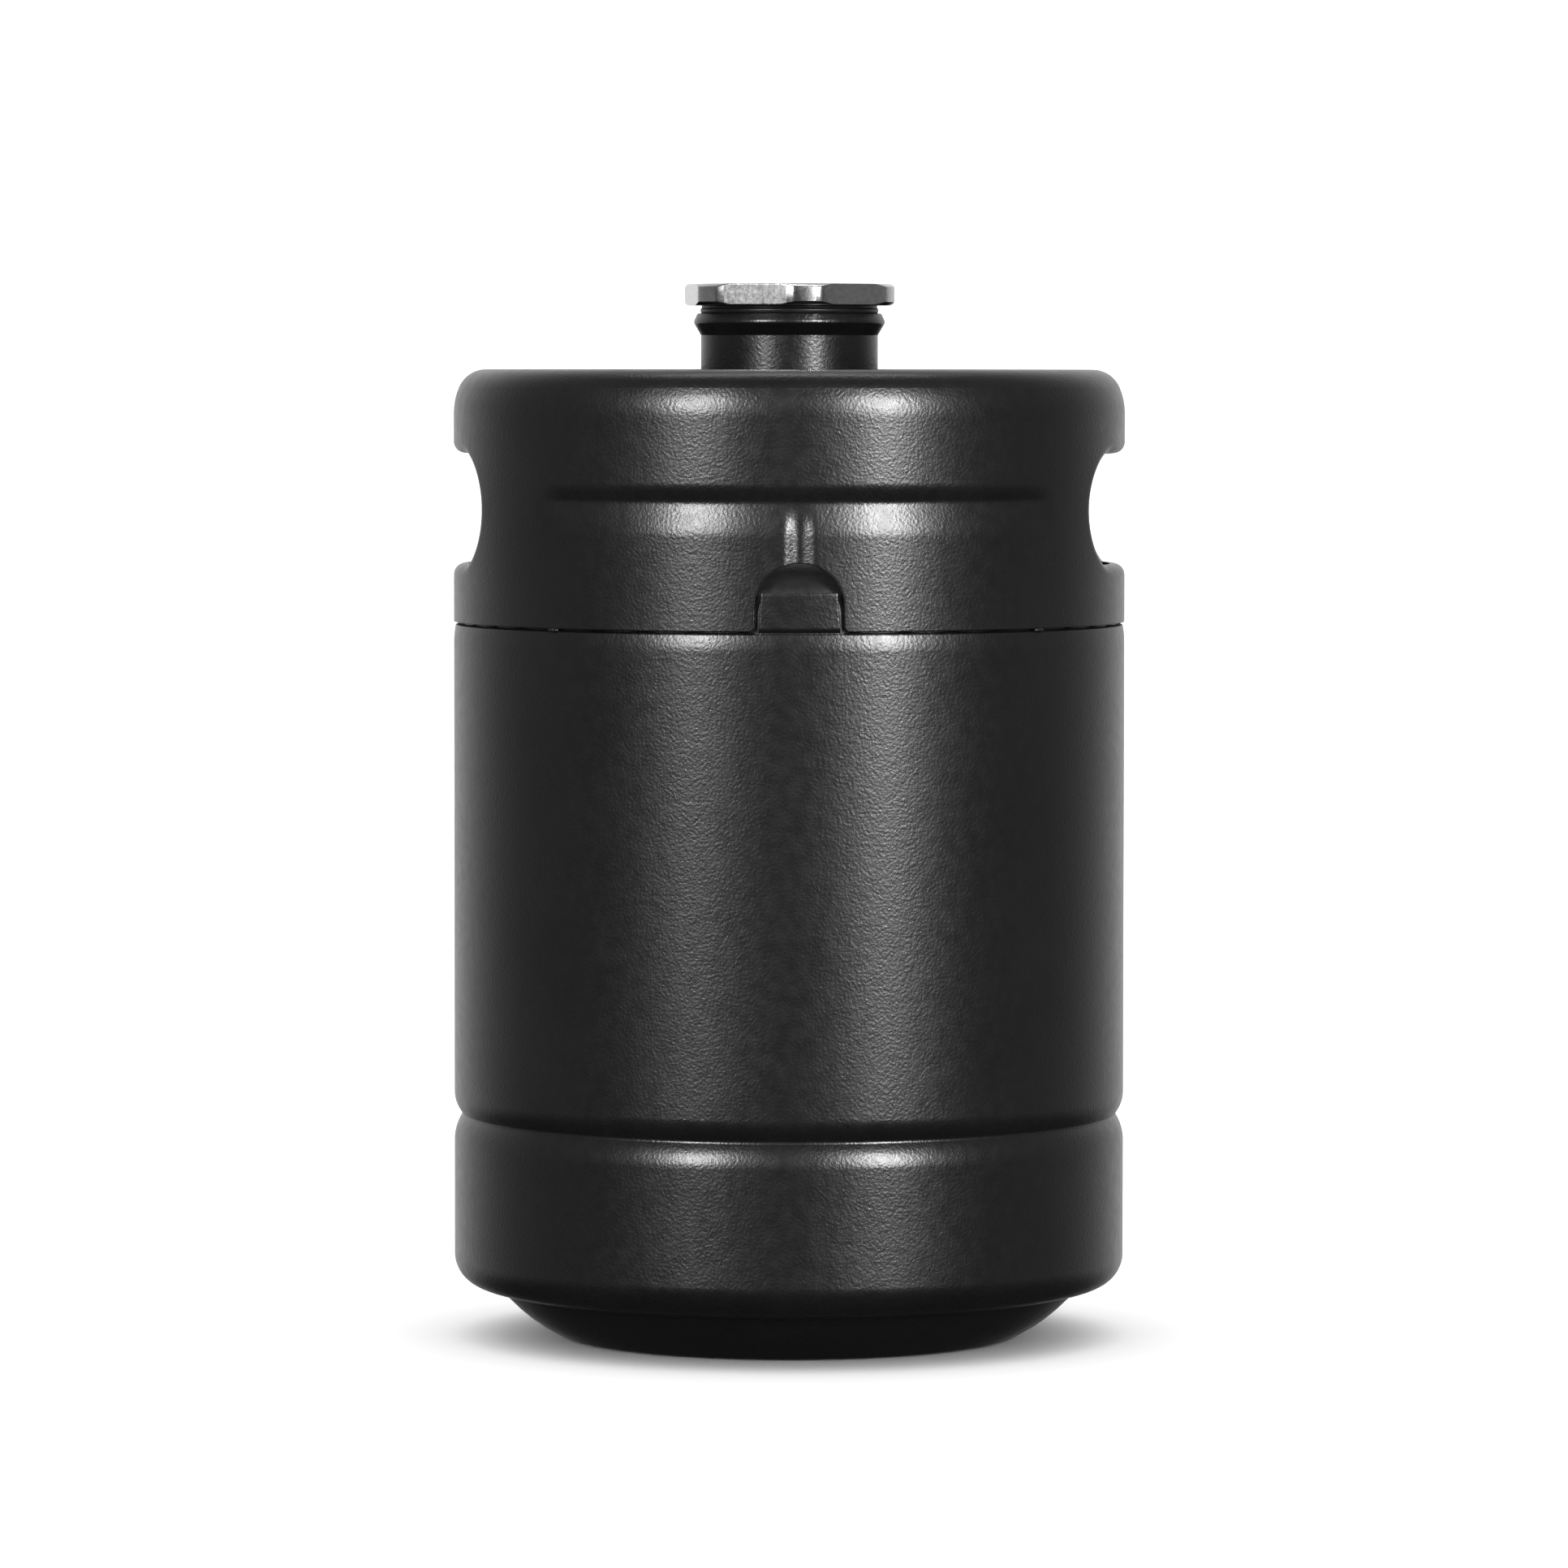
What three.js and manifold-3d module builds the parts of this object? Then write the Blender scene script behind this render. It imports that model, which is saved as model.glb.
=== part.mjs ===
// A two-litre, single-wall steel mini keg with a hexagonal screw cap, in millimetres, +Z up.
// The origin is the middle of the base, on the surface that the keg stands on.
// The front, with a drain arch and a pressed T groove, faces -Y. The handle holes face +X and -X.
// Heights are measured from the standing surface unless a comment says otherwise.

import * as THREE from "three";
import { mergeVertices } from "three/addons/utils/BufferGeometryUtils.js";
import Module from "manifold-3d";

const wasm = await Module();
wasm.setup();

// ---------------------------------------------------------------- Driving dimensions

// Body wall, with its rolled groove and its lower corner turned in to a lip
const bodyRadius = 65;
const bodySheet = 0.9;
const bodyTop = 138.25;
const bodyGrooveHeight = 42.9;
const bodyGrooveDepth = 1.6;
const bodyGrooveHalfWidth = 2.6;
const bodyGrooveValleyBend = 0.8;
const lowerCornerBend = 6.2;
const lipHeight = 9;
const lipWidth = 8;
const grooveBendShare = 0.98;

// Pressed bottom end, with its standing ring and its concave middle; its insets are from the lip's inner edge
const bottomSheet = 0.9;
const flangeToCorner = 0.1;
const bowlBreakInset = 6.4;
const bowlBreakHeight = 3.3;
const bowlBend = 36;
const standingOuterInset = 12.8;
const standingInnerInset = 15.4;
const standingOuterBend = 5;
const standingInnerBend = 1.4;
const baseDomeInset = 17.4;
const baseDomeHeight = 5.4;
const baseDomeCrown = 11.5;
const baseDomeBend = 4;

// Shoulder dome, which nests inside the body wall, below the handle flanges.
// Its rises are above the body's top edge.
const domeSheet = 0.9;
const nestGap = 0.2;
const skirtDepth = 9;
const shoulderBend = 14;
const crownInset = 23.9;
const crownRise = 22.5;
const crownBend = 40;
const landWidth = 4;
const landRise = 26.75;
const landBend = 8;

// Handle ring; its rises are above its own lower edge.
// The handle holes stand a few degrees round from square to the arches: handleTurn is in degrees about +Z.
const seamGap = 0.5;
const ringSheet = 0.9;
const ringHeight = 48.75;
const rimBend = 5.3;
const rimWidth = 8.5;
const rimCurlBend = 1.6;
const rimCurlDrop = 3.6;
const handleWidth = 56;
const handleHeight = 21.3;
const handleRiseShare = 0.45;
const handleFlange = 2;
const handleTurn = -3.3;
const ringGrooveAboveHandle = 2.5;
const ringGrooveUpperHeight = 3.6;
const ringGrooveLowerHeight = 6.5;
const ringGrooveDepth = 0.9;
const ringGrooveSpan = THREE.MathUtils.degToRad(48.5);
const ringGrooveFade = THREE.MathUtils.degToRad(6);
const stemGrooveHalfWidth = 3.3;
const stemGrooveDepth = 0.8;
const stemEndShare = 0.8;
const archHalfWidth = 8.4;
const archStraight = 4.3;
const archCornerBend = 1;

// Tabs of the body wall, which stand in the two arches
const tabHeight = 7.75;
const tabClearance = 0.7;
const tabTaper = 0.5;

// Threaded neck, which stands on the dome's land and ends above the handle ring
const neckWall = 2.15;
const neckAboveRing = 10.8;
const neckSpigot = 3.5;
const neckHoleGap = 0.1;
const mouthDepth = 1.75;
const mouthStep = 0.5;
const beadProud = 1.6;
const beadBelowTop = 1.7;
const beadTaperHeight = 2.5;
const beadTopInset = 0.8;
const beadBend = 0.9;

// Thread of the neck and the plug, right-handed, 30 mm across and 3.5 mm pitch
const threadMajorRadius = 15;
const threadPitch = 3.5;
const threadDepth = 1.9;
const threadClearance = 0.35;
const neckThreadLength = 13;

// Gasket and cap
const gasketProud = 0.2;
const gasketHeight = 1.5;
const gasketBend = 0.4;
const contactGap = 0.02;
const hexOverhang = 2.15;
const hexCornerReach = 1.6;
const hexHeight = 4.2;
const hexChamfer = 0.6;
const hexCornerFromFront = THREE.MathUtils.degToRad(8.4);
const plugReach = 10.5;
const plugWall = 2.55;
const plugFloor = 1.6;
const plugEndChamfer = 0.8;

// Welds. A fillet bead's section runs from its root, as shares of its leg across and up.
const weldGap = 0.06;
const filletSection = [[0, 0], [1, 0], [0.55, 0.3], [0.2, 0.65], [0, 1]];
const tackWeldWidth = 2.7;
const tackWeldProud = 0.4;
const tackWeldHalfHeight = 0.65;
const tackWeldFromFront = THREE.MathUtils.degToRad(45);
const tackWeldCrownShare = 0.4;
const shoulderWeldLeg = 0.45;
const neckWeldLeg = 3;
const bottomWeldProud = 0.5;
const bottomWeldRootShare = 0.7;

// Steps round the axis. The ring's steps gather towards the front and the back by a share of their spacing.
const wideSteps = 40;
const ringSteps = 72;
const ringStepGather = 0.55;
const narrowSteps = 28;
const threadRowsPerPitch = 8;
const hexSteps = 60;

// ---------------------------------------------------------------- Sizes that follow

const lipInnerRadius = bodyRadius - lipWidth;
const bottomFlangeWidth = lipWidth - lowerCornerBend - flangeToCorner;
const bottomFlangeHeight = lipHeight + bodySheet + contactGap;
const bowlTopRadius = lipInnerRadius - contactGap;
const bowlBreakRadius = lipInnerRadius - bowlBreakInset;

const ringBottom = bodyTop + seamGap;
const ringTop = ringBottom + ringHeight;
const rimInnerRadius = bodyRadius - rimWidth;
const handleCentre = ringBottom + handleRiseShare * ringHeight;
const ringGrooveHeight = handleCentre + ringGrooveAboveHandle;
const stemEnd = ringBottom + archStraight + stemEndShare * archHalfWidth;
const tabBaseHalfWidth = archHalfWidth - tabClearance;

const neckRadius = threadMajorRadius + neckWall;
const neckBoreRadius = threadMajorRadius - threadDepth;
const neckTop = ringTop + neckAboveRing;
const skirtRadius = bodyRadius - Math.max(bodySheet, ringSheet) - nestGap;
const shoulderHeight = handleCentre - handleHeight / 2 - ringSheet;
const landHeight = bodyTop + landRise;
const landRadius = neckRadius + landWidth;

const headBottom = neckTop + gasketHeight;
const hexAcrossFlats = 2 * (neckRadius + hexOverhang);
const hexTurnedRadius = hexAcrossFlats / 2 + hexCornerReach;

// ---------------------------------------------------------------- Outlines

// A run of corners [radius, height, bend] as points with their left-hand side, each rounded to its bend.
function bentPath(corners, stepsPerBend) {
  const path = [];
  corners.forEach(([radius, height, bend = 0], i) => {
    const corner = new THREE.Vector2(radius, height);
    const [previous, next] = [corners[i - 1], corners[i + 1]];
    const before = previous ? corner.clone().sub(new THREE.Vector2(...previous)).normalize() : null;
    const after = next ? new THREE.Vector2(...next).sub(corner).normalize() : null;
    const into = before ?? after;
    const out = after ?? before;
    const turn = Math.atan2(into.cross(out), into.dot(out));
    const left = new THREE.Vector2(-into.y, into.x);
    if (bend === 0) {
      const mitre = left.rotateAround(new THREE.Vector2(), turn / 2).divideScalar(Math.cos(turn / 2));
      path.push({ point: corner, left: mitre });
      return;
    }
    const start = corner.clone().addScaledVector(into, -bend * Math.tan(Math.abs(turn) / 2));
    const centre = start.clone().addScaledVector(left, bend * Math.sign(turn));
    for (let step = 0; step <= stepsPerBend; step += 1) {
      const swept = (turn * step) / stepsPerBend;
      path.push({
        point: start.clone().rotateAround(centre, swept),
        left: left.clone().rotateAround(new THREE.Vector2(), swept),
      });
    }
  });
  return path;
}

// The closed outline of a bent sheet: its path, and the same path moved to the left by the sheet's thickness.
function sheetOutline(corners, thickness, stepsPerBend) {
  const path = bentPath(corners, stepsPerBend);
  const farSide = path.map(({ point, left }) => point.clone().addScaledVector(left, thickness));
  return [...path.map(({ point }) => point), ...farSide.reverse()];
}

// The outline of a solid piece, with its corners rounded.
function solidOutline(corners, stepsPerBend) {
  return bentPath(corners, stepsPerBend).map(({ point }) => point);
}

// ---------------------------------------------------------------- Solids

// Turns an outline round the axis. One that starts and ends on the axis is already closed.
function lathe(outline, steps) {
  const points = THREE.ShapeUtils.area(outline) < 0 ? [...outline].reverse() : [...outline];
  if (points[0].x > 0) points.push(points[0].clone());
  return new THREE.LatheGeometry(points, steps).rotateX(Math.PI / 2);
}

function solid(geometry) {
  const bare = new THREE.BufferGeometry();
  bare.setAttribute("position", geometry.getAttribute("position"));
  bare.setIndex(geometry.getIndex());
  const merged = mergeVertices(bare, 1e-4);
  return new wasm.Manifold(
    new wasm.Mesh({
      numProp: 3,
      vertProperties: merged.getAttribute("position").array,
      triVerts: new Uint32Array(merged.getIndex().array),
    }),
  );
}

function geometryOf(manifold) {
  const mesh = manifold.getMesh();
  const geometry = new THREE.BufferGeometry();
  geometry.setAttribute("position", new THREE.BufferAttribute(mesh.vertProperties, 3));
  geometry.setIndex(new THREE.BufferAttribute(mesh.triVerts, 1));
  geometry.computeVertexNormals();
  return geometry;
}

// A closed band round the axis, between two radii and two heights.
function band(innerRadius, outerRadius, low, high, steps) {
  const corners = [[innerRadius, low], [outerRadius, low], [outerRadius, high], [innerRadius, high]];
  return solid(lathe(solidOutline(corners, 1), steps));
}

// A shape drawn across the keg and up it, run right through the keg from front to back.
function frontToBack(shape) {
  const depth = 4 * bodyRadius;
  const geometry = new THREE.ExtrudeGeometry(shape, { depth, bevelEnabled: false, curveSegments: 10 });
  return solid(geometry.translate(0, 0, -depth / 2).rotateX(Math.PI / 2));
}

// The same, run through the two handle holes.
function throughHandles(shape) {
  return frontToBack(shape).rotate([0, 0, 90 + handleTurn]);
}

// ---------------------------------------------------------------- Thread

// The corners of a straight wall that carries the thread, in level rows from one height up to another.
function threadRows(radius, low, high) {
  const rowCount = Math.ceil((high - low) / (threadPitch / threadRowsPerPitch));
  return Array.from({ length: rowCount + 1 }, (_, row) => [radius, low + ((high - low) * row) / rowCount]);
}

// Moves a straight wall out along a right-handed helix. The thread runs out towards an end that asks for it.
function cutThread(geometry, wallRadius, low, high, runOutLow, runOutHigh) {
  const position = geometry.getAttribute("position");
  for (let i = 0; i < position.count; i += 1) {
    const x = position.getX(i);
    const y = position.getY(i);
    const height = position.getZ(i);
    const flat = Math.hypot(x, y);
    const onWall = Math.abs(flat - wallRadius) < 0.01 && height > low - 0.01 && height < high + 0.01;
    if (onWall) {
      const phase = (2 * Math.PI * (height - neckTop)) / threadPitch - Math.atan2(y, x);
      const wave = (1 + Math.cos(phase)) / 2;
      const started = runOutLow ? THREE.MathUtils.smoothstep(height, low, low + threadPitch / 2) : 1;
      const ended = runOutHigh ? THREE.MathUtils.smoothstep(height, high - threadPitch / 2, high) : 0;
      const radius = flat + threadDepth * wave * started * (1 - ended);
      position.setXY(i, (x * radius) / flat, (y * radius) / flat);
    }
  }
  return geometry;
}

// ---------------------------------------------------------------- Body wall

function bodyShell() {
  const slope = Math.atan2(bodyGrooveDepth, bodyGrooveHalfWidth);
  const flank = Math.hypot(bodyGrooveDepth, bodyGrooveHalfWidth);
  const valleyReach = bodyGrooveValleyBend * Math.tan(slope);
  const grooveShoulderBend = (grooveBendShare * (flank - valleyReach)) / Math.tan(slope / 2);
  const corners = [
    [bodyRadius, bodyTop + tabHeight],
    [bodyRadius, bodyGrooveHeight + bodyGrooveHalfWidth, grooveShoulderBend],
    [bodyRadius - bodyGrooveDepth, bodyGrooveHeight, bodyGrooveValleyBend],
    [bodyRadius, bodyGrooveHeight - bodyGrooveHalfWidth, grooveShoulderBend],
    [bodyRadius, lipHeight, lowerCornerBend],
    [lipInnerRadius, lipHeight],
  ];
  const wall = solid(lathe(sheetOutline(corners, -bodySheet, 3), wideSteps));

  const tab = new THREE.Shape();
  tab.moveTo(-tabBaseHalfWidth, bodyTop - 1);
  tab.lineTo(tabBaseHalfWidth, bodyTop - 1);
  tab.lineTo(tabBaseHalfWidth - tabTaper, bodyTop + tabHeight + 1);
  tab.lineTo(tabTaper - tabBaseHalfWidth, bodyTop + tabHeight + 1);
  tab.closePath();
  const trimmed = band(bodyRadius / 2, bodyRadius + 1, bodyTop, bodyTop + tabHeight + 1, wideSteps);
  return geometryOf(wall.subtract(trimmed.subtract(frontToBack(tab))));
}

// ---------------------------------------------------------------- Bottom end

function bottomEnd() {
  const baseDomeRadius = lipInnerRadius - baseDomeInset;
  const corners = [
    [bowlTopRadius + bottomFlangeWidth, bottomFlangeHeight],
    [bowlTopRadius, bottomFlangeHeight],
    [bowlBreakRadius, bowlBreakHeight, bowlBend],
    [lipInnerRadius - standingOuterInset, 0, standingOuterBend],
    [lipInnerRadius - standingInnerInset, 0, standingInnerBend],
    [baseDomeRadius, baseDomeHeight, baseDomeBend],
  ];
  const path = bentPath(corners, 2);
  const rise = baseDomeCrown - baseDomeHeight;
  const sphere = (baseDomeRadius ** 2 + rise ** 2) / (2 * rise);
  const edge = path.pop().point;
  const domeSteps = 3;
  const reach = Math.asin(baseDomeRadius / sphere);
  const underside = path.map(({ point }) => point);
  const upperSide = path.map(({ point, left }) => point.clone().addScaledVector(left, -bottomSheet));
  for (let step = 0; step <= domeSteps; step += 1) {
    const angle = reach * (1 - step / domeSteps);
    const centreHeight = edge.y - sphere * Math.cos(reach);
    const spoke = new THREE.Vector2(Math.sin(angle), Math.cos(angle));
    underside.push(new THREE.Vector2(0, centreHeight).addScaledVector(spoke, sphere));
    upperSide.push(new THREE.Vector2(0, centreHeight).addScaledVector(spoke, sphere + bottomSheet));
  }
  return lathe([...upperSide.reverse(), ...underside], wideSteps);
}

// The bead in the crease between the lip and the bowl, with its root part of the way up the lip's edge.
function bottomWeld() {
  const run = (bowlTopRadius - bowlBreakRadius) / (bottomFlangeHeight - bowlBreakHeight);
  const bowlRadiusAt = (height) => bowlTopRadius - (bottomFlangeHeight - height) * run;
  const low = lipHeight - contactGap;
  const middle = low - bottomWeldProud / 2;
  const corners = [
    [lipInnerRadius - weldGap, lipHeight + bottomWeldRootShare * bodySheet],
    [lipInnerRadius - weldGap, low],
    [lipInnerRadius + bottomWeldProud, low],
    [lipInnerRadius, middle],
    [bowlRadiusAt(low) + bottomWeldProud / 2, low - bottomWeldProud],
    [bowlRadiusAt(middle) + weldGap, middle],
  ];
  return lathe(solidOutline(corners, 1), wideSteps);
}

// ---------------------------------------------------------------- Shoulder

function shoulderDome() {
  const corners = [
    [skirtRadius, bodyTop - skirtDepth],
    [skirtRadius, shoulderHeight, shoulderBend],
    [skirtRadius - crownInset, bodyTop + crownRise, crownBend],
    [landRadius, landHeight, landBend],
    [neckRadius + neckHoleGap, landHeight],
  ];
  return lathe(sheetOutline(corners, domeSheet, 3), wideSteps);
}

// A fillet bead round the axis, from the corner of its two legs out and up.
function filletBead(radius, height, leg, steps) {
  const corners = filletSection.map(([across, up]) => [radius + across * leg, height + up * leg]);
  return lathe(solidOutline(corners, 1), steps);
}

// The bead on the body's top edge that joins it to the dome's skirt, broken where the tabs stand.
function shoulderWeld(side) {
  const bead = solid(filletBead(skirtRadius + contactGap, bodyTop + contactGap, shoulderWeldLeg, wideSteps));
  const half = new THREE.Shape();
  half.moveTo(side * archHalfWidth, bodyTop - 1);
  half.lineTo(side * 2 * bodyRadius, bodyTop - 1);
  half.lineTo(side * 2 * bodyRadius, bodyTop + 1);
  half.lineTo(side * archHalfWidth, bodyTop + 1);
  half.closePath();
  return geometryOf(bead.intersect(frontToBack(half)));
}

// ---------------------------------------------------------------- Handle ring

function bell(share) {
  return Math.abs(share) < 1 ? (1 + Math.cos(Math.PI * share)) / 2 : 0;
}

// How far the ring's wall is pressed in: a level groove across front and back, and a stem to each arch.
function pressDepth(turn, height) {
  const away = Math.min(Math.abs(turn), Math.PI - Math.abs(turn));
  const fade = 1 - THREE.MathUtils.smoothstep(away, ringGrooveSpan - ringGrooveFade, ringGrooveSpan);
  const reach = height > ringGrooveHeight ? ringGrooveUpperHeight : ringGrooveLowerHeight;
  const level = bell((height - ringGrooveHeight) / reach) * fade;
  const onStem = height < ringGrooveHeight && height > stemEnd - 0.01;
  const stem = onStem ? bell((away * bodyRadius) / stemGrooveHalfWidth) : 0;
  return Math.max(ringGrooveDepth * level, stemGrooveDepth * stem);
}

// Gathers the ring's steps towards the front and the back, where the details are, and presses them in.
function pressRing(geometry) {
  const position = geometry.getAttribute("position");
  for (let i = 0; i < position.count; i += 1) {
    const even = Math.atan2(position.getX(i), -position.getY(i));
    const turn = even - (ringStepGather / 2) * Math.sin(2 * even);
    const flat = Math.hypot(position.getX(i), position.getY(i));
    const radius = flat - pressDepth(turn, position.getZ(i));
    position.setXY(i, radius * Math.sin(turn), -radius * Math.cos(turn));
  }
  return geometry;
}

function stadium(width, height, centreHeight) {
  const endRadius = height / 2;
  const endCentre = width / 2 - endRadius;
  const shape = new THREE.Shape();
  shape.absarc(endCentre, centreHeight, endRadius, -Math.PI / 2, Math.PI / 2, false);
  shape.absarc(-endCentre, centreHeight, endRadius, Math.PI / 2, (3 * Math.PI) / 2, false);
  return shape;
}

function archShape() {
  const flare = archHalfWidth + archCornerBend;
  const below = ringBottom - 1;
  const shape = new THREE.Shape();
  shape.moveTo(-flare, below);
  shape.lineTo(flare, below);
  shape.absarc(flare, ringBottom + archCornerBend, archCornerBend, -Math.PI / 2, -Math.PI, true);
  shape.absarc(0, ringBottom + archStraight, archHalfWidth, 0, Math.PI, false);
  shape.absarc(-flare, ringBottom + archCornerBend, archCornerBend, 0, -Math.PI / 2, true);
  shape.closePath();
  return shape;
}

function handleRing() {
  const grooveRows = [
    ...[-1, -0.6, -0.2].map((share) => ringGrooveHeight + share * ringGrooveLowerHeight),
    ...[0.3, 0.65, 1].map((share) => ringGrooveHeight + share * ringGrooveUpperHeight),
  ];
  const corners = [
    [bodyRadius, ringBottom],
    [bodyRadius, stemEnd - 1],
    [bodyRadius, stemEnd],
    ...grooveRows.map((height) => [bodyRadius, height]),
    [bodyRadius, ringTop, rimBend],
    [rimInnerRadius, ringTop, rimCurlBend],
    [rimInnerRadius, ringTop - rimCurlDrop],
  ];
  const wall = solid(pressRing(lathe(sheetOutline(corners, ringSheet, 2), ringSteps)));

  const opening = throughHandles(stadium(handleWidth, handleHeight, handleCentre));
  const flangeOutside = stadium(handleWidth + 2 * ringSheet, handleHeight + 2 * ringSheet, handleCentre);
  const flangeInnerRadius = bodyRadius - ringSheet - handleFlange;
  const flangeOuterRadius = bodyRadius - ringSheet / 2;
  const flangeDepth = band(flangeInnerRadius, flangeOuterRadius, ringBottom + 1, ringTop - 1, ringSteps);
  const flanges = throughHandles(flangeOutside).intersect(flangeDepth);
  return geometryOf(wall.add(flanges).subtract(opening).subtract(frontToBack(archShape())));
}

// ---------------------------------------------------------------- Neck

function neck() {
  const mouthRadius = threadMajorRadius + threadClearance;
  const beadRadius = neckRadius + beadProud;
  const beadHeight = neckTop - beadBelowTop;
  const threadTop = neckTop - mouthDepth - mouthStep;
  const threadBottom = neckTop - neckThreadLength;
  const corners = [
    [neckBoreRadius, landHeight - neckSpigot],
    [neckRadius, landHeight - neckSpigot],
    [neckRadius, beadHeight - beadTaperHeight],
    [beadRadius, beadHeight, beadBend],
    [beadRadius - beadTopInset, neckTop],
    [mouthRadius, neckTop],
    [mouthRadius, neckTop - mouthDepth],
    ...threadRows(neckBoreRadius, threadBottom, threadTop).reverse(),
  ];
  const tube = lathe(solidOutline(corners, 3), narrowSteps);
  return cutThread(tube, neckBoreRadius, threadBottom, threadTop, true, false);
}

function neckWeld() {
  return filletBead(neckRadius + contactGap, landHeight + contactGap, neckWeldLeg, narrowSteps);
}

// ---------------------------------------------------------------- Gasket and cap

function capGasket() {
  const low = neckTop + contactGap;
  const high = headBottom - contactGap;
  const innerRadius = threadMajorRadius + gasketProud;
  const outerRadius = neckRadius + gasketProud;
  const corners = [
    [innerRadius, low],
    [outerRadius, low, gasketBend],
    [outerRadius, high, gasketBend],
    [innerRadius, high],
  ];
  return lathe(solidOutline(corners, 2), narrowSteps);
}

function hexCap() {
  const headTop = headBottom + hexHeight;
  const chamferRadius = hexTurnedRadius - hexChamfer * Math.sqrt(3);
  const coreRadius = neckBoreRadius - threadClearance;
  const plugBore = coreRadius - plugWall;
  const crestRadius = threadMajorRadius - threadClearance;
  const plugEnd = neckTop - plugReach;
  const threadBottom = plugEnd + plugEndChamfer;
  const threadTop = neckTop - threadPitch / 2;

  const hexagon = new THREE.Shape();
  const cornerRadius = hexAcrossFlats / Math.sqrt(3);
  for (let i = 0; i < 6; i += 1) {
    const turn = hexCornerFromFront + (i * Math.PI) / 3 - Math.PI / 2;
    const x = cornerRadius * Math.cos(turn);
    const y = cornerRadius * Math.sin(turn);
    if (i === 0) hexagon.moveTo(x, y);
    else hexagon.lineTo(x, y);
  }
  hexagon.closePath();
  const bar = new THREE.ExtrudeGeometry(hexagon, { depth: 3 * hexHeight, bevelEnabled: false });
  const turned = [
    [0, headBottom],
    [chamferRadius, headBottom],
    [hexTurnedRadius, headBottom + hexChamfer],
    [hexTurnedRadius, headTop - hexChamfer],
    [chamferRadius, headTop],
    [0, headTop],
  ];
  const blank = solid(lathe(solidOutline(turned, 1), hexSteps));
  const head = solid(bar.translate(0, 0, headBottom - hexHeight)).intersect(blank);

  const plug = [
    [0, headBottom - plugFloor],
    [plugBore, headBottom - plugFloor],
    [plugBore, plugEnd],
    [coreRadius - plugEndChamfer, plugEnd],
    ...threadRows(coreRadius, threadBottom, threadTop),
    [coreRadius, neckTop + contactGap],
    [crestRadius, neckTop + contactGap],
    [crestRadius, headBottom + hexHeight / 2],
    [0, headBottom + hexHeight / 2],
  ];
  const threaded = cutThread(
    lathe(solidOutline(plug, 1), narrowSteps),
    coreRadius,
    threadBottom,
    threadTop,
    true,
    true,
  );
  return geometryOf(head.add(solid(threaded)));
}

// ---------------------------------------------------------------- Tack welds

// A short bead that fills the open seam and stands a little proud of the wall, drawn on the +X side.
function tackWeld() {
  const low = bodyTop + contactGap;
  const high = ringBottom - contactGap;
  const middle = (low + high) / 2;
  const root = skirtRadius + shoulderWeldLeg + 2 * weldGap;
  const skin = bodyRadius + weldGap;
  const section = new THREE.Shape();
  section.moveTo(root, low);
  section.lineTo(skin, low);
  section.lineTo(skin, middle - tackWeldHalfHeight);
  section.lineTo(bodyRadius + tackWeldProud, middle - tackWeldCrownShare * tackWeldHalfHeight);
  section.lineTo(bodyRadius + tackWeldProud, middle + tackWeldCrownShare * tackWeldHalfHeight);
  section.lineTo(skin, middle + tackWeldHalfHeight);
  section.lineTo(skin, high);
  section.lineTo(root, high);
  section.closePath();
  const bead = new THREE.ExtrudeGeometry(section, { depth: tackWeldWidth, bevelEnabled: false });
  return bead.translate(0, 0, -tackWeldWidth / 2).rotateX(Math.PI / 2);
}

// ---------------------------------------------------------------- Assembly

const powderCoat = new THREE.MeshStandardMaterial({ color: 0x1c1c1e, roughness: 0.5, metalness: 0.1 });
const brushedSteel = new THREE.MeshStandardMaterial({ color: 0xb8babc, roughness: 0.32, metalness: 1 });
const silicone = new THREE.MeshStandardMaterial({ color: 0x0d0d0e, roughness: 0.45, metalness: 0 });

function piece(name, geometry, material) {
  const mesh = new THREE.Mesh(geometry, material);
  mesh.name = name;
  return mesh;
}

const keg = new THREE.Group();
keg.add(piece("body_shell", bodyShell(), powderCoat));
keg.add(piece("bottom_end", bottomEnd(), powderCoat));
keg.add(piece("bottom_weld", bottomWeld(), powderCoat));
keg.add(piece("shoulder_dome", shoulderDome(), powderCoat));
keg.add(piece("shoulder_weld_left", shoulderWeld(-1), powderCoat));
keg.add(piece("shoulder_weld_right", shoulderWeld(1), powderCoat));
keg.add(piece("handle_ring", handleRing(), powderCoat));
keg.add(piece("neck", neck(), powderCoat));
keg.add(piece("neck_weld", neckWeld(), powderCoat));

const tackWeldPlaces = {
  front_right: tackWeldFromFront - Math.PI / 2,
  back_right: Math.PI / 2 - tackWeldFromFront,
  back_left: Math.PI / 2 + tackWeldFromFront,
  front_left: -Math.PI / 2 - tackWeldFromFront,
};
for (const [place, turn] of Object.entries(tackWeldPlaces)) {
  const bead = piece(`tack_weld_${place}`, tackWeld(), powderCoat);
  bead.rotation.z = turn;
  keg.add(bead);
}

const cap = new THREE.Group();
cap.add(piece("cap_gasket", capGasket(), silicone));
cap.add(piece("hex_cap", hexCap(), brushedSteel));
keg.add(cap);

export default keg;
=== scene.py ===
"""Looks of a two-litre steel mini keg with a hexagonal screw cap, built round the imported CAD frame.

Sizes here are in millimetres. Turns are in degrees, from the front (-Y) towards +X.
"""

import math

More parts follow.
